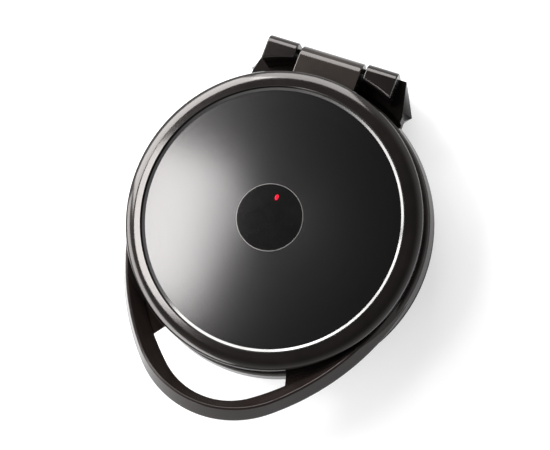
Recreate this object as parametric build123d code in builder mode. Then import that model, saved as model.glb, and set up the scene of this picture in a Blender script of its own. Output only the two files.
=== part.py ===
from build123d import *

import os
from math import cos, radians, sin, sqrt, tan

# An electric pizza maker: a round countertop cooker with two heated plates.
# Millimetres. +Z is up from the table, +Y runs to the hinge and -Y to the handle.
# The origin is on the table, under the middle of the cooker's whole length and width.

# Round body, seen from above
BODY_R = 181.5
RIM_W = 16.0
PLATE_PLAY = 1.5
LEDGE_W = 6.0
PLATE_RIM_W = 14.0
PLATE_DRAFT = 4.0
SKIRT_LEAN = 5.5
RING_STEP = 4.0
RING_W = 24.0
WALL = 3.0

# Heights
FOOT_H = 6.0
BASE_H = 45.5
LID_GAP = 2.0
SKIRT_H = 24.5
SEAM_H = 2.5
RING_H = 29.5
PANEL_DEPTH = 6.0
BOWL_H = 36.0
BOWL_W = 31.5

# Plates and what heats them
PLATE_PROUD = 0.5
FLANGE_T = 3.2
FLOOR_T = 5.0
PAN_WALL = 3.0
PAN_DEPTH = 22.0
UPPER_DROP = 5.3
PLATE_GAP = 0.3
REFLECTOR_T = 0.8
REFLECTOR_DEPTH = 8.0
ELEMENT_R = 100.0
ELEMENT_TUBE_R = 3.3
ELEMENT_SWEEP = 318.0
COLD_END_BEND = 5.5
COLD_END_L = 4.0
TERMINAL_BLOCK_H = 8.0
THERMOSTAT_R = 10.0
FUSE_R = 2.5
FUSE_L = 22.0

# Lid panel, badge and indicator lens
PANEL_T = 0.8
PANEL_SEAT_W = 7.0
LIP_W = 3.8
LIP_DROP = 1.8
CROWN_W = 10.0
CROWN_H = 18.0
BADGE_R = 38.5
BADGE_T = 0.8
LENS_W = 4.2
LENS_L = 7.0
LENS_Y = 24.0
LENS_PROUD = 0.5

# Loop handle, which reaches HANDLE_L beyond the body
HANDLE_L = 51.5
HANDLE_TILT = 15.1
HANDLE_RISE = 20.0
HANDLE_H = 22.5
OUTER_TIP_R = 119.5
OUTER_SIDE_R = 300.0
GRIP_LEAN = 50.0
RIDGE_TIP_R = 120.0
RIDGE_SIDE_R = 300.0
RIDGE_W = 2.6
GRIP_W = 21.0
INNER_TIP_R = 83.0
INNER_SIDE_R = 309.0
RIDGE_FILLET = 1.0
GRIP_FILLET = 3.5
WINDOW_FILLET = 1.5

# Hinge
KNUCKLE_R = 16.0
HINGE_DROP = 28.0
ARM_W = 76.0
ARM_GAP = 5.0
CAP_W = 37.0
CAP_FRONT_GAP = 8.5
CAP_FRONT_FILLET = 3.0
PIN_R = 4.0
LEG_W = 18.0
LEG_FRONT = 6.5
LEG_BACK = 9.0
CROSSBAR_H = 12.0
FLOAT_TRAVEL = 20.0
HOUSING_DROP = 20.0
HOUSING_BACK_W = 86.0
HOUSING_FRONT_W = 97.0
FLARE_W = 104.0
FLARE_AHEAD = 35.0
FLARE_TAPER = 6.0
FLARE_DROP = 18.0
HOUSING_L = 51.0
HOUSING_LEAN = 6.0
HOUSING_FLOOR_T = 2.2
HOUSING_SCREW_ANGLE = 19.5

# Clearances
RUNNING = 0.05
SEAT = 0.1
REST = 0.3
SLIDE = 0.4
LID_SWING = 3.0

# Fasteners and feet
SCREW_R = 1.7
SCREW_HEAD_R = 3.6
SCREW_HEAD_H = 2.2
PLATE_SCREW_L = 12.0
FRAME_SCREW_L = 14.0
ARM_SCREW_L = 26.2
COVER_SCREW_L = 8.2
FLOOR_SCREW_L = 10.0
HOUSING_SCREW_L = 20.0
ARM_SCREW_PITCH = 48.0
FLOOR_SCREW_PITCH = 40.0
BOSS_R = 4.5
BOSS_H = 12.0
FOOT_R = 12.0
FOOT_CIRCLE_R = 120.0
CORD_R = 3.6
BUSHING_R = 7.5
BUSHING_ANGLE = 125.0

# Places worked out from the sizes above
handle_reach = BODY_R + HANDLE_L
hinge_reach = BODY_R + CAP_FRONT_GAP + KNUCKLE_R
PAN_Y = (handle_reach - hinge_reach) / 2
AXIS = Axis((0, PAN_Y, 0), (0, 0, 1))
SECTION = Plane((0, PAN_Y, 0), x_dir=(1, 0, 0), z_dir=(0, -1, 0))

seat_r = BODY_R - RIM_W
plate_r = seat_r - PLATE_PLAY
ledge_r = plate_r - LEDGE_W
pan_r = plate_r - PLATE_RIM_W
floor_r = pan_r - PLATE_DRAFT
screw_circle_r = (ledge_r + plate_r) / 2
skirt_top_r = BODY_R - SKIRT_LEAN
ring_r = skirt_top_r - RING_STEP
panel_r = ring_r - RING_W
bottom_r = BODY_R - BOWL_W

base_top = FOOT_H + BASE_H
skirt_z = base_top + LID_GAP
skirt_top = skirt_z + SKIRT_H
ring_z = skirt_top + SEAM_H
lid_top = ring_z + RING_H
panel_top = lid_top - PANEL_DEPTH
bowl_top = FOOT_H + BOWL_H

plate_top = base_top + PLATE_PROUD
lower_flange_z = plate_top - FLANGE_T
ledge_z = lower_flange_z - REFLECTOR_T
pan_floor = plate_top - PAN_DEPTH
pan_under = pan_floor - FLOOR_T
upper_flange_z = plate_top + PLATE_GAP
upper_flange_top = upper_flange_z + FLANGE_T
upper_ledge_z = upper_flange_top + REFLECTOR_T
upper_face = upper_flange_z - UPPER_DROP
upper_back = upper_face + FLOOR_T

hinge_y = hinge_reach - KNUCKLE_R
hinge_z = lid_top - HINGE_DROP
cap_top = hinge_z + KNUCKLE_R
housing_top = hinge_z - HOUSING_DROP
cap_in = ARM_W / 2 + ARM_GAP
cap_out = cap_in + CAP_W
leg_out = cap_out - 6.0
leg_in = leg_out - LEG_W
leg_front = hinge_y - LEG_FRONT
leg_back = hinge_y + LEG_BACK
cap_front_r = BODY_R + CAP_FRONT_GAP

yoke_z = FOOT_H + 4
leg_top = hinge_z + 10
cavity_top = yoke_z + CROSSBAR_H + FLOAT_TRAVEL + SLIDE
housing_z = FOOT_H + 0.5
housing_floor_z = housing_z + HOUSING_FLOOR_T
flare_z = housing_top - FLARE_DROP
housing_front_r = BODY_R + LID_SWING
housing_front = hinge_reach - HOUSING_L
flare_y = hinge_reach - FLARE_AHEAD

skirt_edge_z = skirt_top - 1.5
flange_z = FOOT_H + 1.5
crown_r = panel_r + CROWN_W
crown_base = lid_top - CROWN_H

# The handle's two tilted planes, and how far its low outline reaches before rounding
tilt = radians(HANDLE_TILT)
half_edge = radians(GRIP_LEAN + HANDLE_TILT) / 2
edge_slant = radians(GRIP_LEAN - HANDLE_TILT) / 2
low_reach = handle_reach + GRIP_FILLET * (cos(edge_slant) / sin(half_edge) - 1)
grip_inset = HANDLE_H / cos(tilt) / (tan(radians(GRIP_LEAN)) + tan(tilt))
ridge_reach = low_reach - grip_inset
ridge_z = lid_top + HANDLE_RISE - ridge_reach * tan(tilt)
ridge_plane = Plane((0, PAN_Y, ridge_z), x_dir=(1, 0, 0), z_dir=(0, sin(tilt), cos(tilt)))
low_axis_z = ridge_z - HANDLE_H / cos(tilt)
low_plane = Plane((0, PAN_Y, low_axis_z), x_dir=(1, 0, 0), z_dir=(0, sin(tilt), cos(tilt)))


def pan_plane(z):
    """A level plane at height z, with its origin on the plates' axis."""
    return Plane((0, PAN_Y, z))


def from_axis(y):
    """The row's Y of a point y behind the plates' axis."""
    return PAN_Y + y


def across(x):
    """A plane square to the hinge axis at x, with its origin on that axis."""
    return Plane((x, from_axis(hinge_y), hinge_z), x_dir=(0, 1, 0), z_dir=(1, 0, 0))


def save(piece, name):
    """Label a finished piece and write it."""
    piece.label = name
    export_step(piece, f"parts/{name}.step")


def ring_spots(radius, count, start=0.0):
    """Evenly spaced points on a circle, with the first at the angle start."""
    turns = [radians(start + 360 * i / count) for i in range(count)]
    return [(radius * cos(turn), radius * sin(turn)) for turn in turns]


def sink_holes(spots, plane, depth, way):
    """Screw holes with room for their heads; way is 1 up from the plane, -1 down."""
    with BuildSketch(plane) as shanks:
        with Locations(*spots):
            Circle(SCREW_R)
    extrude(shanks.sketch, amount=way * depth, mode=Mode.SUBTRACT)
    with BuildSketch(plane) as heads:
        with Locations(*spots):
            Circle(SCREW_HEAD_R + SEAT)
    extrude(heads.sketch, amount=way * SCREW_HEAD_H, mode=Mode.SUBTRACT)


def screws(name, spots, planes, length, way):
    """A group of cheese-head screws whose heads end flush with their planes."""
    with BuildPart() as group:
        with BuildSketch(*planes):
            with Locations(*spots):
                Circle(SCREW_HEAD_R)
        extrude(amount=way * SCREW_HEAD_H)
        with BuildSketch(*planes):
            with Locations(*spots):
                Circle(SCREW_R)
        extrude(amount=way * length)
    save(group.part, name)


def bowl_outside(grow):
    """Cut away the base shell's outer form, filled in and grown, from a neighbour."""
    with BuildSketch(SECTION) as form:
        with BuildLine():
            side = EllipticalCenterArc(
                (bottom_r, bowl_top),
                BOWL_W + grow,
                BOWL_H + grow,
                start_angle=270,
                arc_size=90,
            )
            Polyline(
                side @ 1,
                (BODY_R + grow, base_top),
                (0, base_top),
                (0, FOOT_H - grow),
                side @ 0,
            )
        make_face()
    revolve(form.sketch, axis=AXIS, mode=Mode.SUBTRACT)


def skirt_r(z):
    """The lid frame's outer radius at height z of its leaning wall."""
    return BODY_R - SKIRT_LEAN * (z - skirt_z) / (skirt_edge_z - skirt_z)


def loop_outline(plane, reach, tip_r, side_r, root_r):
    """A closed outline of tangent arcs, for the handle's loop.

    A tip arc faces -Y, two side arcs run from it to the circle of radius root_r
    about the plates' axis, and that circle carries on to the X axis. Reaches are as
    seen from above, so they are stretched along the tilted plane."""
    tip_y = tip_r - reach / cos(radians(HANDLE_TILT))
    to_root = side_r - root_r
    to_tip = side_r - tip_r
    side_y = (tip_y**2 - to_tip**2 + to_root**2) / (2 * tip_y)
    side_x = -sqrt(to_root**2 - side_y**2)
    joint_x = -side_x * tip_r / to_tip
    joint_y = tip_y + (tip_y - side_y) * tip_r / to_tip
    root_x = -side_x * root_r / to_root
    root_y = -side_y * root_r / to_root
    with BuildSketch(plane) as outline:
        with BuildLine():
            tip = ThreePointArc((-joint_x, joint_y), (0, tip_y - tip_r), (joint_x, joint_y))
            right = TangentArc(tip @ 1, (root_x, root_y), tangent=tip % 1)
            left = TangentArc(tip @ 0, (-root_x, root_y), tangent=-(tip % 0))
            TangentArc(right @ 1, (root_r, 0), tangent=right % 1)
            TangentArc(left @ 1, (-root_r, 0), tangent=left % 1)
            Line((root_r, 0), (-root_r, 0))
        make_face()
    return outline


def cold_end_spots():
    """Where the element's two cold ends stand, in the plates' own level plane."""
    gap = radians((360 - ELEMENT_SWEEP) / 2)
    x = ELEMENT_R * sin(gap) - COLD_END_BEND * cos(gap)
    y = ELEMENT_R * cos(gap) + COLD_END_BEND * sin(gap)
    return [(-x, y), (x, y)]


def heating_element(name, height, way):
    """A sheathed ring element, with two cold ends that turn away from the plate."""
    gap = (360 - ELEMENT_SWEEP) / 2
    rise = Vector(0, 0, way * COLD_END_BEND)
    slant = COLD_END_BEND * sin(radians(45))
    with BuildPart() as element:
        with BuildLine() as path:
            ring = CenterArc((0, PAN_Y, height), ELEMENT_R, 90 + gap, ELEMENT_SWEEP)
            for end, out in ((ring @ 0, -(ring % 0)), (ring @ 1, ring % 1)):
                middle = end + out * slant + Vector(0, 0, way) * (COLD_END_BEND - slant)
                turned = ThreePointArc(end, middle, end + out * COLD_END_BEND + rise)
                Line(turned @ 1, turned @ 1 + Vector(0, 0, way * COLD_END_L))
        with BuildSketch(Plane(origin=path.wire() @ 0, z_dir=path.wire() % 0)):
            Circle(ELEMENT_TUBE_R)
        sweep(path=path.wire())
    save(element.part, name)


os.makedirs("parts", exist_ok=True)

# Base shell: a bowl with a flat rim, a ledge for the lower plate and a flange for the bottom cover
plate_screw_spots = ring_spots(screw_circle_r, 4, 45)
cover_screw_spots = ring_spots(bottom_r - 12, 6)
bushing_z = FOOT_H + 22
bushing_plane = Plane(
    (0, PAN_Y, bushing_z),
    x_dir=(-sin(radians(BUSHING_ANGLE)), cos(radians(BUSHING_ANGLE)), 0),
    z_dir=(cos(radians(BUSHING_ANGLE)), sin(radians(BUSHING_ANGLE)), 0),
)
housing_screw_planes = [
    Plane(
        (0, PAN_Y, housing_z + 24),
        x_dir=(cos(radians(turn)), sin(radians(turn)), 0),
        z_dir=(-sin(radians(turn)), cos(radians(turn)), 0),
    ).offset(seat_r + 4.5)
    for turn in (-HOUSING_SCREW_ANGLE, HOUSING_SCREW_ANGLE)
]
with BuildPart() as base_shell:
    with BuildSketch(SECTION):
        with BuildLine():
            bowl = EllipticalCenterArc(
                (bottom_r, bowl_top), BOWL_W, BOWL_H, start_angle=270, arc_size=90
            )
            Polyline(
                bowl @ 1,
                (BODY_R, base_top - 1),
                (BODY_R - 1, base_top),
                (seat_r, base_top),
                (seat_r, ledge_z),
                (ledge_r, ledge_z),
                (ledge_r, ledge_z - WALL),
                (seat_r + WALL, ledge_z - WALL),
                (seat_r + WALL, base_top - WALL),
                (BODY_R - WALL, base_top - WALL),
                (BODY_R - WALL, bowl_top),
            )
            inner = EllipticalCenterArc(
                (bottom_r, bowl_top),
                BOWL_W - WALL,
                BOWL_H - WALL,
                start_angle=270,
                arc_size=90,
            )
            Polyline(
                inner @ 0,
                (bottom_r - 4, flange_z + 1.5),
                (bottom_r - 20, flange_z + 1.5),
                (bottom_r - 20, flange_z),
                (bottom_r - 4, flange_z),
                (bottom_r - 4, FOOT_H),
                bowl @ 0,
            )
        make_face()
    revolve(axis=AXIS)
    with BuildSketch(pan_plane(ledge_z)):
        with Locations(*ring_spots(screw_circle_r + 1, 4, 45)):
            Circle(BOSS_R)
    extrude(amount=-BOSS_H)
    with BuildSketch(pan_plane(flange_z)):
        with Locations(*cover_screw_spots):
            Circle(SCREW_R)
    extrude(amount=WALL, mode=Mode.SUBTRACT)
    with BuildSketch(pan_plane(ledge_z)):
        with Locations(*plate_screw_spots):
            Circle(SCREW_R)
    extrude(amount=-BOSS_H, mode=Mode.SUBTRACT)
    with BuildSketch(bushing_plane):
        Circle(BUSHING_R)
    extrude(amount=BODY_R + 10, mode=Mode.SUBTRACT)
    with BuildSketch(*housing_screw_planes):
        Circle(BOSS_R)
    extrude(amount=7.5)
    with BuildSketch(*housing_screw_planes):
        Circle(SCREW_R)
    extrude(amount=20, mode=Mode.SUBTRACT)
save(base_shell.part, "base_shell")

# Cord bushing: a flanged grommet in the shell's wall, with the bore that the mains lead leaves by
bushing_wall_r = bottom_r + BOWL_W * sqrt(1 - ((bowl_top - bushing_z) / BOWL_H) ** 2)
with BuildPart() as cord_bushing:
    with BuildSketch(bushing_plane.offset(bushing_wall_r - WALL)):
        Circle(BUSHING_R + 2)
    extrude(amount=WALL + 4)
    bowl_outside(SEAT)
    with BuildSketch(bushing_plane.offset(bushing_wall_r - WALL - 3)):
        Circle(BUSHING_R - SEAT)
    extrude(amount=WALL + 7)
    with BuildSketch(bushing_plane.offset(bushing_wall_r + 4)):
        Circle(BUSHING_R)
    extrude(amount=9, taper=8)
    with BuildSketch(bushing_plane):
        Circle(CORD_R)
    extrude(amount=BODY_R + 30, mode=Mode.SUBTRACT)
save(cord_bushing.part, "cord_bushing")

# Bottom cover: a steel disc with air slots, screwed up against the shell's flange
cover_t = 1.2
with BuildPart() as bottom_cover:
    with BuildSketch(pan_plane(flange_z - cover_t)):
        Circle(bottom_r - 4 - REST)
        with Locations(*ring_spots(FOOT_CIRCLE_R, 4, 45)):
            Circle(FOOT_R / 3, mode=Mode.SUBTRACT)
        with Locations(*cover_screw_spots):
            Circle(SCREW_R, mode=Mode.SUBTRACT)
        with PolarLocations(FOOT_CIRCLE_R / 2, 12):
            SlotOverall(34, 4, mode=Mode.SUBTRACT)
    extrude(amount=cover_t)
save(bottom_cover.part, "bottom_cover")
head_z = flange_z - cover_t - SCREW_HEAD_H
screws("bottom_screws", cover_screw_spots, [pan_plane(head_z)], COVER_SCREW_L, 1)

# Rubber feet, each with a stem pushed through the cover
with BuildPart() as rubber_feet:
    with BuildSketch(pan_plane(flange_z - cover_t)):
        with Locations(*ring_spots(FOOT_CIRCLE_R, 4, 45)):
            Circle(FOOT_R)
    extrude(amount=cover_t - flange_z, taper=10)
    with BuildSketch(pan_plane(flange_z - cover_t)):
        with Locations(*ring_spots(FOOT_CIRCLE_R, 4, 45)):
            Circle(FOOT_R / 3 - SEAT)
    extrude(amount=cover_t + 3)
save(rubber_feet.part, "rubber_feet")

# Lower plate: a shallow cast pan with a flat flange that hangs on the shell's ledge
with BuildPart() as lower_plate:
    with BuildSketch(SECTION):
        with BuildLine():
            Polyline(
                (0, pan_under),
                (floor_r - 3, pan_under),
                (floor_r + PAN_WALL, pan_under + 5),
                (pan_r + PAN_WALL, lower_flange_z),
                (plate_r, lower_flange_z),
                (plate_r, plate_top),
                (pan_r, plate_top),
                (floor_r, pan_floor),
                (0, pan_floor),
                close=True,
            )
        make_face()
    revolve(axis=AXIS)
    rims = lower_plate.edges().filter_by(GeomType.CIRCLE)
    fillet(rims.filter_by_position(Axis.Z, pan_floor, pan_floor), PAN_WALL)
    sink_holes(plate_screw_spots, pan_plane(plate_top), FLANGE_T, -1)
save(lower_plate.part, "lower_plate")
screws("lower_plate_screws", plate_screw_spots, [pan_plane(plate_top)], PLATE_SCREW_L, -1)

# Lower reflector: a bright tray under the element, clamped between plate flange and ledge
tray_r = pan_r + PAN_WALL + 0.5
lower_tray_z = pan_under - REFLECTOR_DEPTH
with BuildPart() as lower_reflector:
    with BuildSketch(SECTION):
        with BuildLine():
            Polyline(
                (0, lower_tray_z),
                (tray_r - 6, lower_tray_z),
                (tray_r + REFLECTOR_T, lower_tray_z + 6),
                (tray_r + REFLECTOR_T, ledge_z),
                (plate_r - 1, ledge_z),
                (plate_r - 1, lower_flange_z),
                (tray_r, lower_flange_z),
                (tray_r, lower_tray_z + 6.5),
                (tray_r - 6.5, lower_tray_z + REFLECTOR_T),
                (0, lower_tray_z + REFLECTOR_T),
                close=True,
            )
        make_face()
    revolve(axis=AXIS)
    with BuildSketch(pan_plane(ledge_z)):
        with Locations(*plate_screw_spots):
            Circle(SCREW_R)
    extrude(amount=REFLECTOR_T, mode=Mode.SUBTRACT)
    with BuildSketch(pan_plane(lower_tray_z)):
        with Locations(*cold_end_spots()):
            Circle(ELEMENT_TUBE_R + 1)
    extrude(amount=REFLECTOR_T, mode=Mode.SUBTRACT)
save(lower_reflector.part, "lower_reflector")
heating_element("lower_element", pan_under - ELEMENT_TUBE_R, -1)

# Lower thermostat: a capsule held against the plate by the tray, with two blade terminals
with BuildPart() as lower_thermostat:
    with BuildSketch(pan_plane(lower_tray_z + REFLECTOR_T)):
        Circle(THERMOSTAT_R)
    extrude(amount=pan_under - lower_tray_z - REFLECTOR_T)
    with BuildSketch(pan_plane(lower_tray_z + REFLECTOR_T)):
        with Locations((-THERMOSTAT_R - 3, 0), (THERMOSTAT_R + 3, 0)):
            Rectangle(9, 4)
    extrude(amount=1)
save(lower_thermostat.part, "lower_thermostat")

# Thermal fuse: a small sleeve clipped along the plate's underside
fuse_plane = Plane(
    (THERMOSTAT_R * 4, from_axis(-FUSE_L / 2), pan_under - FUSE_R),
    x_dir=(1, 0, 0),
    z_dir=(0, 1, 0),
)
with BuildPart() as thermal_fuse:
    with BuildSketch(fuse_plane):
        Circle(FUSE_R)
    extrude(amount=FUSE_L)
    with BuildSketch(fuse_plane.offset(-5)):
        Circle(FUSE_R / 3)
    extrude(amount=FUSE_L + 10)
save(thermal_fuse.part, "thermal_fuse")

# Terminal block: a ceramic strip with three wells, on the bottom cover
block_y = ELEMENT_R * 0.6
with BuildPart() as terminal_block:
    with BuildSketch(pan_plane(flange_z)):
        with Locations((0, block_y)):
            Rectangle(36, 16)
    extrude(amount=TERMINAL_BLOCK_H)
    with BuildSketch(pan_plane(flange_z + TERMINAL_BLOCK_H)):
        with Locations((0, block_y)):
            with GridLocations(11, 1, 3, 1):
                Circle(3)
    extrude(amount=-4, mode=Mode.SUBTRACT)
save(terminal_block.part, "terminal_block")

# Upper plate: a shallow cast disc that reaches down into the lower pan
with BuildPart() as upper_plate:
    with BuildSketch(SECTION):
        with BuildLine():
            Polyline(
                (0, upper_face),
                (floor_r - 4, upper_face),
                (floor_r - 1, upper_flange_z),
                (plate_r, upper_flange_z),
                (plate_r, upper_flange_top),
                (floor_r - 3, upper_flange_top),
                (floor_r - 6, upper_back),
                (0, upper_back),
                close=True,
            )
        make_face()
    revolve(axis=AXIS)
    rims = upper_plate.edges().filter_by(GeomType.CIRCLE)
    fillet(rims.filter_by_position(Axis.Z, upper_face, upper_face), 2)
    sink_holes(plate_screw_spots, pan_plane(upper_flange_z), FLANGE_T, 1)
save(upper_plate.part, "upper_plate")
screws("upper_plate_screws", plate_screw_spots, [pan_plane(upper_flange_z)], PLATE_SCREW_L, 1)
heating_element("upper_element", upper_back + ELEMENT_TUBE_R, 1)

# Upper reflector: a tray turned over the element, clamped between plate flange and lid ledge
upper_tray_z = upper_back + 2 * ELEMENT_TUBE_R + REFLECTOR_DEPTH / 2
upper_tray_r = ledge_r - 3
with BuildPart() as upper_reflector:
    with BuildSketch(SECTION):
        with BuildLine():
            Polyline(
                (plate_r - 1, upper_flange_top),
                (plate_r - 1, upper_ledge_z),
                (upper_tray_r, upper_ledge_z),
                (upper_tray_r - 4, upper_tray_z + REFLECTOR_T),
                (0, upper_tray_z + REFLECTOR_T),
                (0, upper_tray_z),
                (upper_tray_r - 4.6, upper_tray_z),
                (upper_tray_r - 1, upper_flange_top),
                close=True,
            )
        make_face()
    revolve(axis=AXIS)
    with BuildSketch(pan_plane(upper_flange_top)):
        with Locations(*plate_screw_spots):
            Circle(SCREW_R)
    extrude(amount=REFLECTOR_T, mode=Mode.SUBTRACT)
    with BuildSketch(pan_plane(upper_tray_z)):
        with Locations(*cold_end_spots()):
            Circle(ELEMENT_TUBE_R + 1)
    extrude(amount=REFLECTOR_T, mode=Mode.SUBTRACT)
save(upper_reflector.part, "upper_reflector")

# Upper thermostat: the same capsule, standing on the upper plate's back
with BuildPart() as upper_thermostat:
    with BuildSketch(pan_plane(upper_back)):
        Circle(THERMOSTAT_R)
    extrude(amount=upper_tray_z - upper_back)
    with BuildSketch(pan_plane(upper_tray_z)):
        with Locations((-THERMOSTAT_R - 3, 0), (THERMOSTAT_R + 3, 0)):
            Rectangle(9, 4)
    extrude(amount=-1)
save(upper_thermostat.part, "upper_thermostat")

frame_screw_spots = ring_spots(crown_r + 4, 6, 30)
# Lid ring: the rounded gloss ring with the sunk lip and the seat for the metal panel
with BuildPart() as lid_ring:
    with BuildSketch(SECTION):
        with BuildLine():
            shoulder = EllipticalCenterArc(
                (crown_r, crown_base), ring_r - crown_r, CROWN_H, start_angle=0, arc_size=90
            )
            lip = TangentArc(
                shoulder @ 1, (panel_r + LIP_W, lid_top - LIP_DROP), tangent=(-1, 0)
            )
            inside = EllipticalCenterArc(
                (crown_r, crown_base),
                ring_r - WALL - crown_r,
                CROWN_H - WALL,
                start_angle=0,
                arc_size=90,
            )
            Polyline(
                lip @ 1,
                (panel_r + REST, panel_top),
                (panel_r + REST, panel_top - PANEL_T),
                (panel_r - PANEL_SEAT_W, panel_top - PANEL_T),
                (panel_r - PANEL_SEAT_W, panel_top - PANEL_T - WALL),
                (panel_r + WALL, panel_top - PANEL_T - WALL),
                (panel_r + CROWN_W - WALL, lid_top - WALL - 1),
                inside @ 1,
            )
            Polyline(
                inside @ 0,
                (ring_r - WALL, ring_z + WALL),
                (ring_r - 2 * WALL, ring_z),
                (ring_r - 2 * WALL, skirt_top),
                (ring_r - 2, skirt_top),
                (ring_r - 2, ring_z),
                (ring_r, ring_z),
                shoulder @ 0,
            )
        make_face()
    revolve(axis=AXIS)
    with BuildSketch(pan_plane(skirt_top)):
        with Locations(*frame_screw_spots):
            Circle(BOSS_R)
            Circle(SCREW_R, mode=Mode.SUBTRACT)
    extrude(amount=lid_top - 2 * WALL - skirt_top)
save(lid_ring.part, "lid_ring")

# Lid panel: a flat brushed disc, with an oval hole for the lens
with BuildPart() as lid_panel:
    with BuildSketch(pan_plane(panel_top)):
        Circle(panel_r)
        with Locations((0, LENS_Y)):
            Ellipse(LENS_W / 2, LENS_L / 2, mode=Mode.SUBTRACT)
    extrude(amount=-PANEL_T)
save(lid_panel.part, "lid_panel")

# Badge: a thin round plate with a softened edge, bare but for the lens hole
with BuildPart() as badge:
    with BuildSketch(pan_plane(panel_top)):
        Circle(BADGE_R)
    extrude(amount=BADGE_T)
    fillet(badge.faces().sort_by(Axis.Z)[-1].edges(), BADGE_T * 0.4)
    with BuildSketch(pan_plane(panel_top)):
        with Locations((0, LENS_Y)):
            Ellipse(LENS_W / 2, LENS_L / 2)
    extrude(amount=BADGE_T, mode=Mode.SUBTRACT)
save(badge.part, "badge")

# Indicator lens: a red oval light guide through badge and panel, with a domed top
lens_low = panel_top - PANEL_T - 5
with BuildPart() as indicator_lens:
    with BuildSketch(pan_plane(lens_low)):
        with Locations((0, LENS_Y)):
            Ellipse(LENS_W / 2 - RUNNING, LENS_L / 2 - RUNNING)
    extrude(amount=panel_top + BADGE_T + LENS_PROUD - lens_low)
    fillet(indicator_lens.faces().sort_by(Axis.Z)[-1].edges(), LENS_PROUD)
save(indicator_lens.part, "indicator_lens")

# Lens holder: a small housing under the panel that grips the lens and carries its lamp
with BuildPart() as lens_holder:
    with BuildSketch(pan_plane(panel_top - PANEL_T)):
        with Locations((0, LENS_Y)):
            RectangleRounded(LENS_W + 10, LENS_L + 14, 3)
    extrude(amount=-12)
    with BuildSketch(pan_plane(panel_top - PANEL_T)):
        with Locations((0, LENS_Y)):
            Ellipse(LENS_W / 2, LENS_L / 2)
    extrude(amount=-5 - REST, mode=Mode.SUBTRACT)
save(lens_holder.part, "lens_holder")

# Lid frame: the lower moulding of the lid, with the loop handle growing out of it
with BuildPart() as handle:
    outer_low = loop_outline(low_plane, low_reach, OUTER_TIP_R, OUTER_SIDE_R, BODY_R)
    outer_ridge = loop_outline(ridge_plane, ridge_reach, RIDGE_TIP_R, RIDGE_SIDE_R, ring_r)
    loft(sections=[outer_low.sketch, outer_ridge.sketch], ruled=True)
    inner_low = loop_outline(
        low_plane, handle_reach - GRIP_W, INNER_TIP_R, INNER_SIDE_R, seat_r
    )
    inner_ridge = loop_outline(
        ridge_plane,
        ridge_reach - RIDGE_W,
        RIDGE_TIP_R - RIDGE_W,
        RIDGE_SIDE_R - RIDGE_W,
        ring_r - RIDGE_W,
    )
    loft(sections=[inner_low.sketch, inner_ridge.sketch], ruled=True, mode=Mode.SUBTRACT)
    on_ridge = handle.edges().filter_by(GeomType.CIRCLE).filter_by(
        lambda edge: abs(ridge_plane.to_local_coords(edge @ 0.5).Z) < 0.01
    )
    fillet(on_ridge, RIDGE_FILLET)
    for outline, radius in [(outer_low, GRIP_FILLET), (inner_low, WINDOW_FILLET)]:
        rim = outline.sketch.face().outer_wire()
        on_rim = handle.edges().filter_by(GeomType.CIRCLE).filter_by(
            lambda edge: rim.distance_to(edge @ 0.5) < 0.01
        )
        fillet(on_rim, radius)
    with BuildSketch(SECTION) as lid_room:
        with BuildLine():
            Polyline(
                (0, low_axis_z),
                (low_reach, low_axis_z),
                (low_reach, skirt_z),
                (BODY_R - WALL / 2, skirt_z),
                (skirt_top_r - WALL / 2, skirt_edge_z),
                (ring_r + SLIDE, skirt_top - WALL / 2),
                (ring_r + SLIDE, lid_top + HANDLE_RISE),
                (0, lid_top + HANDLE_RISE),
                close=True,
            )
        make_face()
    revolve(lid_room.sketch, axis=AXIS, mode=Mode.SUBTRACT)

arm_screw_z = hinge_z - 12
with BuildPart() as arm_pad:
    with BuildSketch(SECTION):
        with BuildLine():
            Polyline(
                (seat_r - 10, upper_ledge_z + WALL / 2),
                (skirt_r(upper_ledge_z) - 2, upper_ledge_z + WALL / 2),
                (skirt_top_r - 1, skirt_top - WALL / 2),
                (seat_r - 10, skirt_top - WALL / 2),
                close=True,
            )
        make_face()
    revolve(axis=AXIS)
    with Locations((0, from_axis(ring_r + 4), arm_screw_z)):
        Box(ARM_W - 10, 16, SKIRT_H * 2, mode=Mode.INTERSECT)

arm_screw_plane = Plane(
    (0, from_axis(ring_r - 4), arm_screw_z), x_dir=(1, 0, 0), z_dir=(0, 1, 0)
)
arm_screw_spots = [(-ARM_SCREW_PITCH / 2, 0), (ARM_SCREW_PITCH / 2, 0)]
with BuildPart() as lid_frame:
    with BuildSketch(SECTION):
        with BuildLine():
            Polyline(
                (BODY_R, skirt_z),
                (skirt_top_r, skirt_edge_z),
                (skirt_top_r - 1.5, skirt_top),
                (ledge_r - 2, skirt_top),
                (ledge_r - 2, skirt_top - WALL),
                (skirt_top_r - WALL, skirt_top - WALL),
                (skirt_r(upper_ledge_z + WALL) - WALL, upper_ledge_z + WALL),
                (ledge_r - 2, upper_ledge_z + WALL),
                (ledge_r - 2, upper_ledge_z),
                (seat_r - REST, upper_ledge_z),
                (seat_r - REST, skirt_z),
                close=True,
            )
        make_face()
    revolve(axis=AXIS)
    with BuildSketch(pan_plane(upper_ledge_z)):
        with Locations(*ring_spots(screw_circle_r + 1, 4, 45)):
            Circle(BOSS_R)
    extrude(amount=BOSS_H * 0.75)
    add(arm_pad.part)
    add(handle.part)
    with BuildSketch(pan_plane(upper_ledge_z)):
        with Locations(*plate_screw_spots):
            Circle(SCREW_R)
    extrude(amount=BOSS_H * 0.75, mode=Mode.SUBTRACT)
    with BuildSketch(pan_plane(skirt_top)):
        with Locations(*frame_screw_spots):
            Circle(SCREW_R)
    extrude(amount=-WALL, mode=Mode.SUBTRACT)
    with BuildSketch(arm_screw_plane):
        with Locations(*arm_screw_spots):
            Circle(SCREW_R)
    extrude(amount=20, mode=Mode.SUBTRACT)
save(lid_frame.part, "lid_frame")
frame_head_z = skirt_top - WALL - SCREW_HEAD_H
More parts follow.
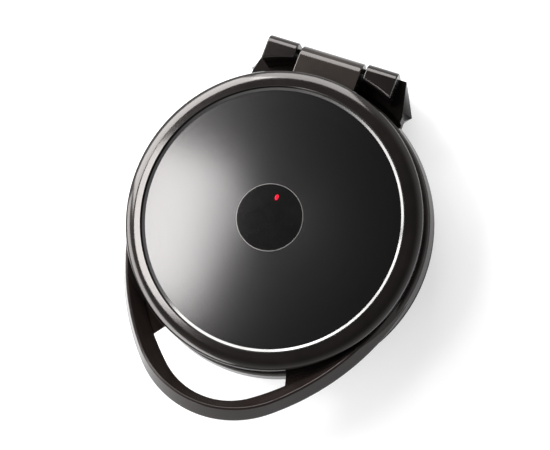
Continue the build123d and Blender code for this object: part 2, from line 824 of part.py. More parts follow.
screws("frame_screws", frame_screw_spots, [pan_plane(frame_head_z)], FRAME_SCREW_L, 1)

# Hinge arm: the wide centre block on the back of the lid, rounded about the hinge pin
with BuildPart() as hinge_arm:
    with BuildSketch(across(-ARM_W / 2)):
        Circle(KNUCKLE_R)
        with Locations((-KNUCKLE_R, 0)):
            Rectangle(2 * KNUCKLE_R, 2 * KNUCKLE_R)
    extrude(amount=ARM_W)
    ends = hinge_arm.faces().filter_by(Axis.X)
    fillet(ends.edges(), 1.5)
    with BuildSketch(SECTION) as lid_form:
        with BuildLine():
            over = EllipticalCenterArc(
                (crown_r, crown_base),
                ring_r + SEAT - crown_r,
                CROWN_H + SEAT,
                start_angle=0,
                arc_size=90,
            )
            Polyline(
                over @ 1,
                (0, lid_top + SEAT),
                (0, skirt_z - 1),
                (BODY_R + SEAT, skirt_z - 1),
                (BODY_R + SEAT, skirt_z),
                (skirt_top_r + SEAT, skirt_edge_z),
                (skirt_top_r - 1.5 + SEAT, skirt_top + SEAT),
                (ring_r + SEAT, skirt_top + SEAT),
                over @ 0,
            )
        make_face()
    revolve(lid_form.sketch, axis=AXIS, mode=Mode.SUBTRACT)
    with BuildSketch(across(-ARM_W / 2)):
        Circle(PIN_R + RUNNING)
    extrude(amount=ARM_W, mode=Mode.SUBTRACT)
    with BuildSketch(arm_screw_plane):
        with Locations(*arm_screw_spots):
            Circle(SCREW_R)
    extrude(amount=24, mode=Mode.SUBTRACT)
save(hinge_arm.part, "hinge_arm")
arm_head_plane = arm_screw_plane.offset(-SCREW_HEAD_H)
screws("arm_screws", arm_screw_spots, [arm_head_plane], ARM_SCREW_L, 1)

# Hinge yoke: a steel crossbar with two legs that slide in the housing and hold the pin
with BuildPart() as hinge_yoke:
    leg_y = from_axis((leg_front + leg_back) / 2)
    with BuildSketch(Plane((0, leg_y, yoke_z))):
        Rectangle(2 * leg_out, leg_back - leg_front)
    extrude(amount=CROSSBAR_H)
    with BuildSketch(Plane((0, leg_y, yoke_z))):
        with Locations((-(leg_in + leg_out) / 2, 0), ((leg_in + leg_out) / 2, 0)):
            Rectangle(LEG_W, leg_back - leg_front)
    extrude(amount=leg_top - yoke_z)
    fillet(hinge_yoke.edges().filter_by(Axis.X).group_by(Axis.Z)[-1], 3)
    with BuildSketch(across(-cap_out)):
        Circle(PIN_R + RUNNING)
    extrude(amount=2 * cap_out, mode=Mode.SUBTRACT)
save(hinge_yoke.part, "hinge_yoke")

# Hinge caps: gloss covers over the yoke's legs, one on each side of the arm
for side, name in ((-1, "hinge_cap_left"), (1, "hinge_cap_right")):
    cap_x = side * (cap_in + cap_out) / 2
    with BuildPart() as hinge_cap:
        with BuildSketch(pan_plane(housing_top + REST)):
            with Locations((cap_x, hinge_reach / 2)):
                Rectangle(CAP_W, hinge_reach)
            Circle(cap_front_r, mode=Mode.SUBTRACT)
        extrude(amount=cap_top - housing_top - REST)
        top = hinge_cap.faces().sort_by(Axis.Z)[-1]
        fillet(top.edges().filter_by(Axis.X), KNUCKLE_R * 0.7)
        front = hinge_cap.edges().filter_by(GeomType.CIRCLE).sort_by(Axis.Z)[-1]
        fillet(front, CAP_FRONT_FILLET)
        ends = hinge_cap.faces().filter_by(Axis.X)
        fillet(ends.edges().filter_by_position(Axis.Z, housing_top + 1, cap_top), 1.5)
        with BuildSketch(pan_plane(housing_top + REST)):
            with Locations((side * (leg_in + leg_out + 2.6) / 2, (leg_front + leg_back) / 2)):
                Rectangle(LEG_W + 2.6 + 2 * SEAT, leg_back - leg_front + 2 * SEAT)
        extrude(amount=leg_top + SEAT - housing_top - REST, mode=Mode.SUBTRACT)
        with BuildSketch(across(0)):
            Circle(PIN_R + SEAT)
        extrude(amount=side * leg_out, mode=Mode.SUBTRACT)
    save(hinge_cap.part, name)

# Hinge pin, with a groove near each end, and the two spring clips that hold it
pin_end = leg_out + 2
with BuildPart() as hinge_pin:
    with BuildSketch(across(-pin_end)):
        Circle(PIN_R)
    extrude(amount=2 * pin_end)
    for groove_x in (-leg_out - 1.2, leg_out + 0.2):
        with BuildSketch(across(groove_x)):
            Circle(PIN_R + 1)
            Circle(PIN_R - 0.6, mode=Mode.SUBTRACT)
        extrude(amount=1, mode=Mode.SUBTRACT)
save(hinge_pin.part, "hinge_pin")
with BuildPart() as pin_clips:
    for groove_x in (-leg_out - 1.2, leg_out + 0.2):
        with BuildSketch(across(groove_x)):
            Circle(PIN_R + 2.4)
            Circle(PIN_R - 0.6, mode=Mode.SUBTRACT)
            with Locations((0, -PIN_R)):
                Rectangle(PIN_R, 2 * PIN_R, mode=Mode.SUBTRACT)
        extrude(amount=1)
save(pin_clips.part, "pin_clips")


def housing_outline(z, back_w, flare_w, front_w):
    """The hinge housing's outline at height z, wide at the flare and narrower behind it."""
    with BuildSketch(pan_plane(z)) as outline:
        with BuildLine():
            Polyline(
                (-back_w, hinge_reach),
                (back_w, hinge_reach),
                (flare_w, flare_y),
                (front_w, flare_y - FLARE_TAPER),
                (front_w, housing_front),
                (-front_w, housing_front),
                (-front_w, flare_y - FLARE_TAPER),
                (-flare_w, flare_y),
                close=True,
            )
        make_face()
    return outline


# Hinge housing: the flared block behind the bowl that the yoke slides in
with BuildPart() as hinge_housing:
    lowest = housing_outline(
        housing_z,
        HOUSING_BACK_W - HOUSING_LEAN,
        FLARE_W - 2 * HOUSING_LEAN,
        HOUSING_FRONT_W - 1.5 * HOUSING_LEAN,
    )
    widest = housing_outline(flare_z, HOUSING_BACK_W, FLARE_W, HOUSING_FRONT_W)
    highest = housing_outline(
        housing_top,
        HOUSING_BACK_W,
        HOUSING_FRONT_W - HOUSING_LEAN / 2,
        HOUSING_FRONT_W - HOUSING_LEAN / 4,
    )
    loft(sections=[lowest.sketch, widest.sketch, highest.sketch], ruled=True)
    bowl_outside(SEAT)
    with BuildSketch(pan_plane(base_top)) as lid_sweep:
        Circle(housing_front_r)
    extrude(lid_sweep.sketch, amount=housing_top, mode=Mode.SUBTRACT)
    with BuildSketch(Plane((0, leg_y, housing_floor_z))):
        Rectangle(2 * (leg_out + SLIDE), leg_back - leg_front + 2 * SLIDE)
    extrude(amount=cavity_top - housing_floor_z, mode=Mode.SUBTRACT)
    with BuildSketch(Plane((0, leg_y, housing_floor_z))):
        with Locations((-(leg_in + leg_out) / 2, 0), ((leg_in + leg_out) / 2, 0)):
            Rectangle(LEG_W + 2 * SLIDE, leg_back - leg_front + 2 * SLIDE)
    extrude(amount=housing_top, mode=Mode.SUBTRACT)
    floor_y = (hinge_reach + seat_r) / 2
    with BuildSketch(pan_plane(housing_z)):
        with Locations((0, floor_y)):
            Rectangle(2 * leg_out + 8 + 2 * SEAT, hinge_reach - seat_r - 6 + 2 * SEAT)
    extrude(amount=HOUSING_FLOOR_T, mode=Mode.SUBTRACT)
    with BuildSketch(pan_plane(housing_z)):
        with Locations((0, floor_y - BOSS_H)):
            with GridLocations(FLOOR_SCREW_PITCH, 1, 4, 1):
                Circle(SCREW_R)
    extrude(amount=14, mode=Mode.SUBTRACT)
    with BuildSketch(*housing_screw_planes):
        Circle(SCREW_R)
    extrude(amount=20, mode=Mode.SUBTRACT)
save(hinge_housing.part, "hinge_housing")
with BuildPart() as housing_floor:
    with BuildSketch(pan_plane(housing_z)):
        with Locations((0, floor_y)):
            Rectangle(2 * leg_out + 8, hinge_reach - seat_r - 6)
    extrude(amount=HOUSING_FLOOR_T)
    with BuildSketch(pan_plane(housing_z)):
        with Locations((0, floor_y - BOSS_H)):
            with GridLocations(FLOOR_SCREW_PITCH, 1, 4, 1):
                Circle(SCREW_R)
    extrude(amount=HOUSING_FLOOR_T, mode=Mode.SUBTRACT)
save(housing_floor.part, "housing_floor")
floor_screw_spots = [(FLOOR_SCREW_PITCH * (i - 1.5), floor_y - BOSS_H) for i in range(4)]
floor_head_z = housing_z - SCREW_HEAD_H
screws("housing_floor_screws", floor_screw_spots, [pan_plane(floor_head_z)], FLOOR_SCREW_L, 1)
screws(
    "housing_screws",
    [(0, 0)],
    [plane.offset(-SCREW_HEAD_H) for plane in housing_screw_planes],
    HOUSING_SCREW_L,
    1,
)
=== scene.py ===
from math import acos, cos, hypot, pi, radians, sin

import bmesh
import bpy
from mathutils import Matrix, Vector

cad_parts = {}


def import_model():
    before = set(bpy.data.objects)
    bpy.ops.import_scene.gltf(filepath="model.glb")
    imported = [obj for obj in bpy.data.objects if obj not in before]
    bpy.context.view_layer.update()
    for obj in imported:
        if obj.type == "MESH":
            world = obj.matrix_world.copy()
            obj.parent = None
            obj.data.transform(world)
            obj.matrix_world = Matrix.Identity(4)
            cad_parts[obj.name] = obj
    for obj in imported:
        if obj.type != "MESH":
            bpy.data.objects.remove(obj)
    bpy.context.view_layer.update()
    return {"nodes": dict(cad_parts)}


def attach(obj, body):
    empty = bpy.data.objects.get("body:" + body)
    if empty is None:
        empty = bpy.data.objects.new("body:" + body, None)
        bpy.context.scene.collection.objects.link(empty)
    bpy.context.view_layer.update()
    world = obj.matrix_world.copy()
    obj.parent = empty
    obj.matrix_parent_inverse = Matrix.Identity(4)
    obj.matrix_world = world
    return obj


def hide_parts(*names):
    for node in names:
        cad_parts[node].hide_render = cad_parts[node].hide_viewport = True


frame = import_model()

MM = 0.001

# Sizes that match the solids, in millimetres, with radii about the plates' upright axis
PAN_Y = 13.5
RING_R = 172.0
CROWN_R = 158.0
PANEL_R = 148.0
PANEL_SEAT_W = 7.0
PANEL_TOP = 104.0
PANEL_T = 0.8
WALL = 3.0
LIP_W = 3.8
SKIRT_TOP = 78.0
RING_Z = 80.5
CROWN_Z = 92.0
LID_TOP = 110.0
BADGE_R = 38.5
BADGE_T = 0.8
SEAT_R = 165.5
HANDLE_REACH = 233.0
HANDLE_TILT = radians(15.1)
GRIP_W = 21.0
INNER_TIP_R = 83.0
INNER_SIDE_R = 309.0
INNER_LOW_Z = 46.9

# The ring's top, with its rounded rim and bevelled lip
TOP_SLOPE = 28.0
DOME_STEPS = 16
RIM_ROUND = 5.0
RIM_STEPS = 12
LIP_ROUND = 0.4
LIP_BEVEL_W = 2.7
LIP_BEVEL_H = 1.75
PANEL_CLEARANCE = 0.3
CROWN_THICKER = 1.0
SEAM_DEPTH = 2.0
FOOT_CHAMFER = 0.6
FOOT_EASE = 0.2
RING_SHARP_ANGLE = 12

# Trims round the panel and round the badge
TRIM_T = 0.12
TRIM_PLAY = 0.2
TRIM_SINK = 0.1
BADGE_RIM_W = 0.3
BADGE_RIM_OUT = 0.4
BADGE_RIM_PROUD = 0.1

# The webs that end the handle's window: how far round its inner side arc they run
WEB_T = 2.0
WEB_ROOT_R = 171.0
WEB_DROP = 1.0
WEB_START = radians(45)
WEB_END = radians(58)
WEB_STEPS = 16

# The photograph's camera: where it looks from, and its lens for an image 550 pixels wide
CAMERA_ELEVATION = radians(75.46)
CAMERA_AZIMUTH = radians(74.28)
CAMERA_ROLL = radians(-54.07)
CAMERA_DISTANCE = 1076.7
CAMERA_TARGET = (9.17, 7.38, 104.0)
FOCAL_PIXELS = 954.6
IMAGE_WIDTH = 550
SENSOR_WIDTH = 36.0
CLIP_START = 0.01

# Studio: the floor glows a little near the part and is white further out, in metres
FLOOR_LIFT = 0.6
FLOOR_LIFT_R = 0.45
FLOOR_WHITE_R = 1.6
FLOOR_HALF = 6.0
WORLD_LIGHT = 0.3
CEILING_LIGHT = 0.07
CEILING_START = radians(30)
CEILING_END = radians(65)

# Each softbox: its place, its width and height in metres, and its power in watts
SOFTBOXES = {
    "side_softbox": ((-0.4, -0.022, 0.865), (0.338, 0.211), 4.4),
    "corner_softbox": ((-0.498, 0.247, 0.49), (0.6, 0.35), 8.5),
    "top_softbox": ((-0.164, 0.538, 0.46), (0.4, 0.3), 3.0),
    "low_softbox": ((-0.446, -0.417, 0.39), (1.0, 0.2), 5.2),
}


class Nodes:
    """A node tree, built a node at a time."""

    def __init__(self, tree):
        self.tree = tree

    def add(self, kind, **values):
        """A new node with its settings."""
        node = self.tree.nodes.new(kind)
        for key, value in values.items():
            setattr(node, key, value)
        return node

    def feed(self, socket, value):
        """Give a socket a number, a vector or another node's output."""
        if isinstance(value, bpy.types.NodeSocket):
            self.tree.links.new(value, socket)
        else:
            socket.default_value = value

    def maths(self, operation, *values):
        """The result of one maths operation on numbers or outputs."""
        node = self.add("ShaderNodeMath", operation=operation)
        for socket, value in zip(node.inputs, values):
            self.feed(socket, value)
        return node.outputs[0]

    def remap(self, source, low, high, start=0.0, end=1.0, interpolation="LINEAR"):
        """A source that runs from start to end, taken to run from low to high."""
        node = self.add("ShaderNodeMapRange", interpolation_type=interpolation)
        self.feed(node.inputs["Value"], source)
        self.feed(node.inputs["From Min"], start)
        self.feed(node.inputs["From Max"], end)
        self.feed(node.inputs["To Min"], low)
        self.feed(node.inputs["To Max"], high)
        return node.outputs["Result"]

    def where_seen(self):
        """A value of 1 for what is seen straight, in a reflection or through glass, else 0."""
        path = self.add("ShaderNodeLightPath")
        mirrored = self.maths("MAXIMUM", path.outputs["Is Camera Ray"], path.outputs["Is Glossy Ray"])
        return self.maths("MAXIMUM", mirrored, path.outputs["Is Transmission Ray"])

    def about_axis(self):
        """A level vector from the plates' upright axis to the surface, and its length."""
        where = self.add("ShaderNodeTexCoord").outputs["Object"]
        centred = self.add("ShaderNodeVectorMath", operation="SUBTRACT")
        self.feed(centred.inputs[0], where)
        self.feed(centred.inputs[1], (0, PAN_Y * MM, 0))
        level = self.add("ShaderNodeVectorMath", operation="MULTIPLY")
        self.feed(level.inputs[0], centred.outputs[0])
        self.feed(level.inputs[1], (1, 1, 0))
        length = self.add("ShaderNodeVectorMath", operation="LENGTH")
        self.feed(length.inputs[0], level.outputs[0])
        return level.outputs[0], length.outputs["Value"]


class Finish(Nodes):
    """A material's nodes round its Principled shader."""

    def __init__(self, name):
        self.material = bpy.data.materials.new(name)
        self.material.use_nodes = True
        super().__init__(self.material.node_tree)
        self.shader = self.tree.nodes["Principled BSDF"]

    def set(self, **values):
        """Give the shader's sockets their values, with underscores for the spaces in their names."""
        for key, value in values.items():
            self.feed(self.shader.inputs[key.replace("_", " ")], value)

    def noise(self, scale, detail, rough=0.5):
        """Cloudy noise in the part's own space."""
        node = self.add("ShaderNodeTexNoise")
        self.feed(node.inputs["Vector"], self.add("ShaderNodeTexCoord").outputs["Object"])
        self.feed(node.inputs["Scale"], scale)
        self.feed(node.inputs["Detail"], detail)
        self.feed(node.inputs["Roughness"], rough)
        return node.outputs["Fac"]

    def blend(self, source, start, dark, end, light):
        """A colour that goes from dark, where the source is at start, to light at end."""
        node = self.add("ShaderNodeValToRGB")
        for stop, place, colour in zip(node.color_ramp.elements, (start, end), (dark, light)):
            stop.position = place
            stop.color = (*colour, 1)
        self.feed(node.inputs["Fac"], source)
        return node.outputs["Color"]

    def bump(self, source, strength, distance):
        """Raise the surface with a source."""
        node = self.add("ShaderNodeBump")
        self.feed(node.inputs["Strength"], strength)
        self.feed(node.inputs["Distance"], distance)
        self.feed(node.inputs["Height"], source)
        self.set(Normal=node.outputs["Normal"])


def gloss_black(name, dark, light, shine, textured_r=0.0):
    """Polished moulding with faint swirls, and with a textured surface out to a radius."""
    finish = Finish(name)
    roughness = finish.remap(finish.noise(160, 5, 0.6), 0.10, 0.17)
    if textured_r:
        textured = finish.maths("LESS_THAN", finish.about_axis()[1], textured_r * MM)
        roughness = finish.maths("MULTIPLY_ADD", textured, 0.55, roughness)
    finish.set(
        Base_Color=finish.blend(finish.noise(30, 3), 0.3, dark, 0.75, light),
        Roughness=roughness,
        Specular_IOR_Level=shine,
        Specular_Tint=(1.0, 0.95, 0.93, 1.0),
    )
    finish.bump(finish.noise(55, 2), 0.03, 0.0004)
    return finish.material


def matte_black(name, colour, roughness):
    """Textured moulding or rubber, with a fine grain."""
    finish = Finish(name)
    lighter = tuple(1.6 * channel for channel in colour)
    grain = finish.noise(1400, 3)
    finish.set(
        Base_Color=finish.blend(finish.noise(60, 4), 0.3, colour, 0.8, lighter),
        Roughness=finish.remap(grain, roughness - 0.08, roughness + 0.08),
    )
    finish.bump(grain, 0.25, 0.0002)
    return finish.material


def metal(name, dark, light, roughness):
    """Plated or rolled metal, a little uneven in colour and shine."""
    finish = Finish(name)
    streaks = finish.noise(300, 4)
    finish.set(
        Base_Color=finish.blend(finish.noise(45, 5), 0.3, dark, 0.75, light),
        Roughness=finish.remap(streaks, roughness * 0.8, roughness * 1.25),
        Metallic=1.0,
    )
    finish.bump(streaks, 0.08, 0.0002)
    return finish.material


def spun_metal(name, dark, light, roughness, lines, stretch):
    """Metal brushed in circles about the plates' axis: fine rings and a stretched shine."""
    finish = Finish(name)
    level, length = finish.about_axis()
    apart = finish.add("ShaderNodeSeparateXYZ")
    finish.feed(apart.inputs[0], level)
    place = finish.add("ShaderNodeCombineXYZ")
    finish.feed(place.inputs["X"], finish.maths("MULTIPLY", length, lines))
    finish.feed(place.inputs["Y"], finish.maths("ARCTAN2", apart.outputs["Y"], apart.outputs["X"]))
    scratch = finish.add("ShaderNodeTexNoise")
    finish.feed(scratch.inputs["Vector"], place.outputs[0])
    finish.feed(scratch.inputs["Scale"], 1.0)
    finish.feed(scratch.inputs["Detail"], 3.0)
    scratches = scratch.outputs["Fac"]
    tangent = finish.add("ShaderNodeTangent", direction_type="RADIAL", axis="Z")
    finish.set(
        Base_Color=finish.blend(scratches, 0.3, dark, 0.7, light),
        Roughness=finish.remap(scratches, roughness * 0.85, roughness * 1.15),
        Metallic=1.0,
        Anisotropic=stretch,
        Anisotropic_Rotation=0.25,
        Tangent=tangent.outputs["Tangent"],
    )
    finish.bump(scratches, 0.05, 0.0001)
    return finish.material


def lens_red(name):
    """A clear red light guide with its lamp on."""
    finish = Finish(name)
    colour = finish.blend(finish.noise(500, 2), 0.3, (0.50, 0.003, 0.014), 0.7, (0.7, 0.006, 0.03))
    finish.set(Base_Color=colour, Emission_Color=colour, Emission_Strength=0.35, Roughness=0.12)
    return finish.material


gloss = gloss_black("gloss_black", (0.005, 0.0042, 0.004), (0.008, 0.0065, 0.006), 0.5)
handle_gloss = gloss_black("handle_gloss", (0.010, 0.0072, 0.0065), (0.014, 0.0102, 0.0092), 0.25, 178)
arm_gloss = gloss_black("arm_gloss", (0.014, 0.0115, 0.010), (0.020, 0.0165, 0.0145), 0.5)
badge_gloss = gloss_black("badge_gloss", (0.003, 0.003, 0.003), (0.005, 0.005, 0.005), 0.15)
satin = gloss_black("satin_black", (0.006, 0.005, 0.0045), (0.009, 0.0075, 0.007), 0.08)
shell_matte = gloss_black("shell_matte", (0.006, 0.005, 0.0045), (0.009, 0.0075, 0.007), 0.05, 300)
rubber = matte_black("rubber_black", (0.018, 0.017, 0.017), 0.75)
matte = matte_black("matte_black", (0.02, 0.019, 0.019), 0.6)
ceramic = matte_black("ceramic", (0.4, 0.39, 0.36), 0.7)
steel = metal("plated_steel", (0.45, 0.45, 0.44), (0.6, 0.6, 0.59), 0.3)
bright_tray = metal("bright_tray", (0.62, 0.62, 0.61), (0.75, 0.75, 0.74), 0.22)
sheath = metal("element_sheath", (0.16, 0.15, 0.14), (0.3, 0.28, 0.26), 0.5)
rim_metal = metal("rim_metal", (0.20, 0.195, 0.19), (0.26, 0.255, 0.25), 0.35)
trim_metal = metal("trim_metal", (0.11, 0.107, 0.105), (0.14, 0.137, 0.135), 0.16)
panel_metal = spun_metal("panel_metal", (0.046, 0.0445, 0.0445), (0.054, 0.0525, 0.0525), 0.212, 6000, 0.3)
coating = spun_metal("plate_coating", (0.03, 0.029, 0.028), (0.05, 0.048, 0.047), 0.42, 900, 0.3)
red = lens_red("lens_red")


def dress(finish, *names):
    """Put a finish in every slot of the named solids."""
    for name in names:
        slots = frame["nodes"][name].data.materials
        for i in range(len(slots)):
            slots[i] = finish


dress(gloss, "lid_ring", "hinge_cap_left", "hinge_cap_right")
dress(handle_gloss, "lid_frame")
dress(arm_gloss, "hinge_arm")
dress(badge_gloss, "badge")
dress(satin, "hinge_housing")
dress(shell_matte, "base_shell")
dress(rubber, "cord_bushing", "rubber_feet")
dress(matte, "bottom_cover", "housing_floor", "hinge_yoke", "hinge_pin", "lens_holder")
dress(ceramic, "terminal_block")
dress(steel, "bottom_screws", "lower_plate_screws", "upper_plate_screws", "housing_floor_screws")
dress(steel, "housing_screws", "frame_screws", "arm_screws", "pin_clips")
dress(bright_tray, "lower_reflector", "upper_reflector")
dress(bright_tray, "lower_thermostat", "upper_thermostat", "thermal_fuse")
dress(sheath, "lower_element", "upper_element")
dress(panel_metal, "lid_panel")
dress(coating, "lower_plate", "upper_plate")
dress(red, "indicator_lens")


def at(x, y, z):
    """A point x across, y behind the plates' axis and z up, in the row's metres."""
    return Vector((x * MM, (y + PAN_Y) * MM, z * MM))


def arc(centre_r, centre_z, radius, start, end, count):
    """Profile points along an arc, with its angles in degrees from straight outwards."""
    points = []
    for i in range(count + 1):
        turn = radians(start + (end - start) * i / count)
        points.append((centre_r + radius * cos(turn), centre_z + radius * sin(turn)))
    return points


def new_mesh(name, points, faces):
    """A mesh from points and faces, with its faces turned outwards."""
    mesh = bpy.data.meshes.new(name)
    mesh.from_pydata(points, [], faces)
    edit = bmesh.new()
    edit.from_mesh(mesh)
    bmesh.ops.remove_doubles(edit, verts=edit.verts, dist=1e-6)
    bmesh.ops.recalc_face_normals(edit, faces=edit.faces)
    edit.to_mesh(mesh)
    edit.free()
    return mesh


def lathe(name, profile, segments=256):
    """A mesh turned about the plates' axis from a closed profile of radius and height."""
    count = len(profile)
    points = []
    for i in range(segments):
        turn = 2 * pi * i / segments
        for r, z in profile:
            points.append(at(r * cos(turn), r * sin(turn), z))
    faces = []
    for i in range(segments):
        j = (i + 1) % segments
        for a in range(count):
            b = (a + 1) % count
            faces.append((i * count + a, j * count + a, j * count + b, i * count + b))
    return new_mesh(name, points, faces)


def skin(name, sections):
    """A closed mesh stretched over equal loops of points, with a cap on each end."""
    count = len(sections[0])
    points = [point for section in sections for point in section]
    faces = []
    for i in range(len(sections) - 1):
        low = i * count
        high = low + count
        for a in range(count):
            b = (a + 1) % count
            faces.append((low + a, low + b, high + b, high + a))
    faces.append(tuple(range(count)))
    faces.append(tuple(range(len(points) - count, len(points))))
    return new_mesh(name, points, faces)


def new_piece(mesh, material, sharp_angle=35):
    """Link a mesh as a piece that rides on the lid, smooth but for its sharper edges."""
    piece = bpy.data.objects.new(mesh.name, mesh)
    bpy.context.scene.collection.objects.link(piece)
    mesh.shade_smooth()
    mesh.set_sharp_from_angle(angle=radians(sharp_angle))
    mesh.materials.append(material)
    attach(piece, "lid")
    return piece


def lid_ring():
    """The gloss ring: a bevelled lip round the panel, a gently sloped top and a rounded rim."""
    slope = radians(TOP_SLOPE)
    rim_r = RING_R - RIM_ROUND
    dome = (rim_r + RIM_ROUND * sin(slope) - CROWN_R) / sin(slope)
    rim_z = LID_TOP - dome * (1 - cos(slope)) - RIM_ROUND * cos(slope)
    edge_r = PANEL_R + LIP_W
    foot_r = PANEL_R + PANEL_CLEARANCE
    seat_z = PANEL_TOP - PANEL_T
    profile = [(RING_R, RING_Z + FOOT_CHAMFER)]
    profile += arc(rim_r, rim_z, RIM_ROUND, 0, 90 - TOP_SLOPE, RIM_STEPS)
    for i in range(1, DOME_STEPS + 1):
        turn = slope * (1 - i / DOME_STEPS)
        profile.append((CROWN_R + dome * sin(turn), LID_TOP - dome * (1 - cos(turn))))
    profile += [
        (edge_r + LIP_ROUND, LID_TOP),
        (edge_r, LID_TOP - LIP_ROUND),
        (foot_r + LIP_BEVEL_W, PANEL_TOP + LIP_BEVEL_H),
        (foot_r, PANEL_TOP),
        (foot_r, seat_z),
        (PANEL_R - PANEL_SEAT_W, seat_z),
        (PANEL_R - PANEL_SEAT_W, seat_z - WALL),
        (PANEL_R + WALL, seat_z - WALL),
        (CROWN_R - WALL, LID_TOP - WALL - CROWN_THICKER),
        (CROWN_R, LID_TOP - WALL),
        (RING_R - WALL, CROWN_Z),
        (RING_R - WALL, RING_Z + WALL),
        (RING_R - 2 * WALL, RING_Z),
        (RING_R - 2 * WALL, SKIRT_TOP),
        (RING_R - SEAM_DEPTH, SKIRT_TOP),
        (RING_R - SEAM_DEPTH, RING_Z),
        (RING_R - FOOT_CHAMFER, RING_Z),
        (RING_R - FOOT_EASE, RING_Z + FOOT_EASE),
    ]
    shell = new_piece(lathe("lid_ring_shell", profile), gloss, RING_SHARP_ANGLE)
    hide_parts("lid_ring")


def panel_trim():
    """The polished bevel between the panel's edge and the ring's lip."""
    low_r = PANEL_R + TRIM_PLAY
    top = PANEL_TOP + LIP_BEVEL_H
    profile = [
        (low_r, PANEL_TOP - TRIM_SINK),
        (low_r, PANEL_TOP + TRIM_T),
        (low_r + LIP_BEVEL_W, top + TRIM_T),
        (low_r + LIP_BEVEL_W + TRIM_T, top - TRIM_T),
        (low_r + 2 * TRIM_T, PANEL_TOP - TRIM_SINK),
    ]
    new_piece(lathe("panel_trim", profile), trim_metal)


def badge_rim():
    """A thin bright trim round the badge's edge."""
    low = PANEL_TOP - TRIM_SINK
    top = PANEL_TOP + BADGE_T + BADGE_RIM_PROUD
    profile = [
        (BADGE_R - BADGE_RIM_W, low),
        (BADGE_R + BADGE_RIM_OUT, low),
        (BADGE_R + BADGE_RIM_OUT, top - BADGE_RIM_OUT),
        (BADGE_R, top),
        (BADGE_R - BADGE_RIM_W, top),
    ]
    new_piece(lathe("badge_rim", profile, 192), rim_metal)


def window_web(name, side):
    """The web that ends the handle's window, from the lid's skirt to the handle's inner edge."""
    tip = (HANDLE_REACH - GRIP_W) / cos(HANDLE_TILT) - INNER_TIP_R
    apart = INNER_SIDE_R - INNER_TIP_R
    away = INNER_SIDE_R - SEAT_R
    side_turn = acos((apart**2 + tip**2 - away**2) / (2 * apart * tip))
    root_z = SKIRT_TOP - WEB_DROP
    sections = []
    for i in range(WEB_STEPS + 1):
        turn = WEB_START + (WEB_END - WEB_START) * i / WEB_STEPS
        x = INNER_SIDE_R * sin(turn) - apart * sin(side_turn)
        reach = tip - apart * cos(side_turn) + INNER_SIDE_R * cos(turn)
        y = -reach * cos(HANDLE_TILT)
        z = INNER_LOW_Z + reach * sin(HANDLE_TILT)
        out = 1 + WEB_T / hypot(x, y)
        root = WEB_ROOT_R / hypot(x, y)
        section = [
            at(side * x * out, y * out, z + WEB_T),
            at(side * x * root, y * root, root_z),
            at(side * x * root, y * root, root_z - WEB_T),
            at(side * x * out, y * out, z),
        ]
        sections.append(section)
    new_piece(skin(name, sections), handle_gloss)


lid_ring()
panel_trim()
badge_rim()
window_web("window_web_left", -1)
window_web("window_web_right", 1)


def camera():
    """The photograph's camera."""
    level = Vector((cos(CAMERA_AZIMUTH), sin(CAMERA_AZIMUTH), 0))
    ahead = Vector((sin(CAMERA_AZIMUTH), -cos(CAMERA_AZIMUTH), 0))
    back = cos(CAMERA_ELEVATION) * ahead + Vector((0, 0, sin(CAMERA_ELEVATION)))
    rise = back.cross(level)
    right = cos(CAMERA_ROLL) * level + sin(CAMERA_ROLL) * rise
    up = -sin(CAMERA_ROLL) * level + cos(CAMERA_ROLL) * rise
    lens = bpy.data.cameras.new("camera")
    lens.sensor_width = SENSOR_WIDTH
    lens.lens = FOCAL_PIXELS * SENSOR_WIDTH / IMAGE_WIDTH
    lens.clip_start = CLIP_START
    eye = bpy.data.objects.new("camera", lens)
    bpy.context.scene.collection.objects.link(eye)
    place = Matrix((right, up, back)).transposed().to_4x4()
    place.translation = (Vector(CAMERA_TARGET) + CAMERA_DISTANCE * back) * MM
    eye.matrix_world = place
    bpy.context.scene.camera = eye


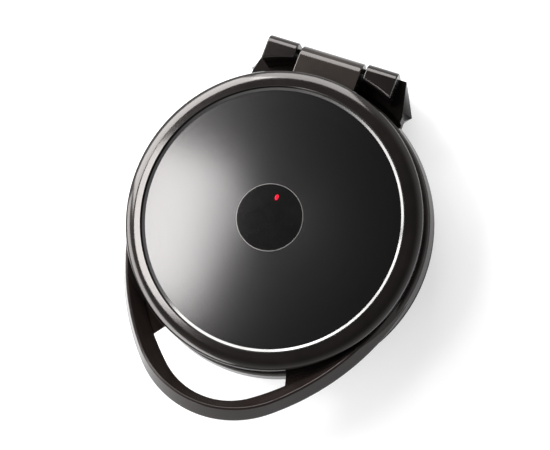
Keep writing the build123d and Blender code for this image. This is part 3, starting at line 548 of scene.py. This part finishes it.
def floor():
    """A plain white table top that keeps the object's shadow."""
    finish = Finish("floor_white")
    lift = finish.remap(finish.about_axis()[1], FLOOR_LIFT, 1.0, FLOOR_LIFT_R, FLOOR_WHITE_R)
    finish.set(
        Base_Color=finish.blend(finish.noise(3, 2), 0.3, (0.49, 0.49, 0.49), 0.7, (0.51, 0.51, 0.51)),
        Roughness=0.7,
        Specular_IOR_Level=0.2,
        Emission_Color=(1, 1, 1, 1),
        Emission_Strength=finish.maths("MULTIPLY", finish.where_seen(), lift),
    )
    half = FLOOR_HALF
    corners = [(-half, -half, 0), (half, -half, 0), (half, half, 0), (-half, half, 0)]
    mesh = bpy.data.meshes.new("floor")
    mesh.from_pydata(corners, [], [(0, 1, 2, 3)])
    mesh.materials.append(finish.material)
    table = bpy.data.objects.new("floor", mesh)
    bpy.context.scene.collection.objects.link(table)


def world():
    """White surroundings that darken overhead, at full strength only where they are seen."""
    sky = bpy.data.worlds.new("studio")
    bpy.context.scene.world = sky
    sky.use_nodes = True
    nodes = Nodes(sky.node_tree)
    apart = nodes.add("ShaderNodeSeparateXYZ")
    nodes.feed(apart.inputs[0], nodes.add("ShaderNodeTexCoord").outputs["Generated"])
    start = sin(CEILING_START)
    end = sin(CEILING_END)
    overhead = nodes.remap(apart.outputs["Z"], 1.0, CEILING_LIGHT, start, end, "SMOOTHSTEP")
    background = sky.node_tree.nodes["Background"]
    nodes.feed(background.inputs["Color"], (1, 1, 1, 1))
    nodes.feed(background.inputs["Strength"], nodes.remap(nodes.where_seen(), WORLD_LIGHT, overhead))


def softbox(name, place, size, power):
    """A soft rectangular lamp that faces the middle of the lid."""
    light = bpy.data.lights.new(name, "AREA")
    light.shape = "RECTANGLE"
    light.size, light.size_y = size
    light.energy = power
    holder = bpy.data.objects.new(name, light)
    bpy.context.scene.collection.objects.link(holder)
    holder.location = place
    holder.visible_camera = False
    towards = at(0, 0, LID_TOP) - Vector(place)
    holder.rotation_euler = towards.to_track_quat("-Z", "Y").to_euler()


camera()
floor()
world()
for name, (place, size, power) in SOFTBOXES.items():
    softbox(name, place, size, power)

bpy.context.scene.view_settings.view_transform = "Standard"
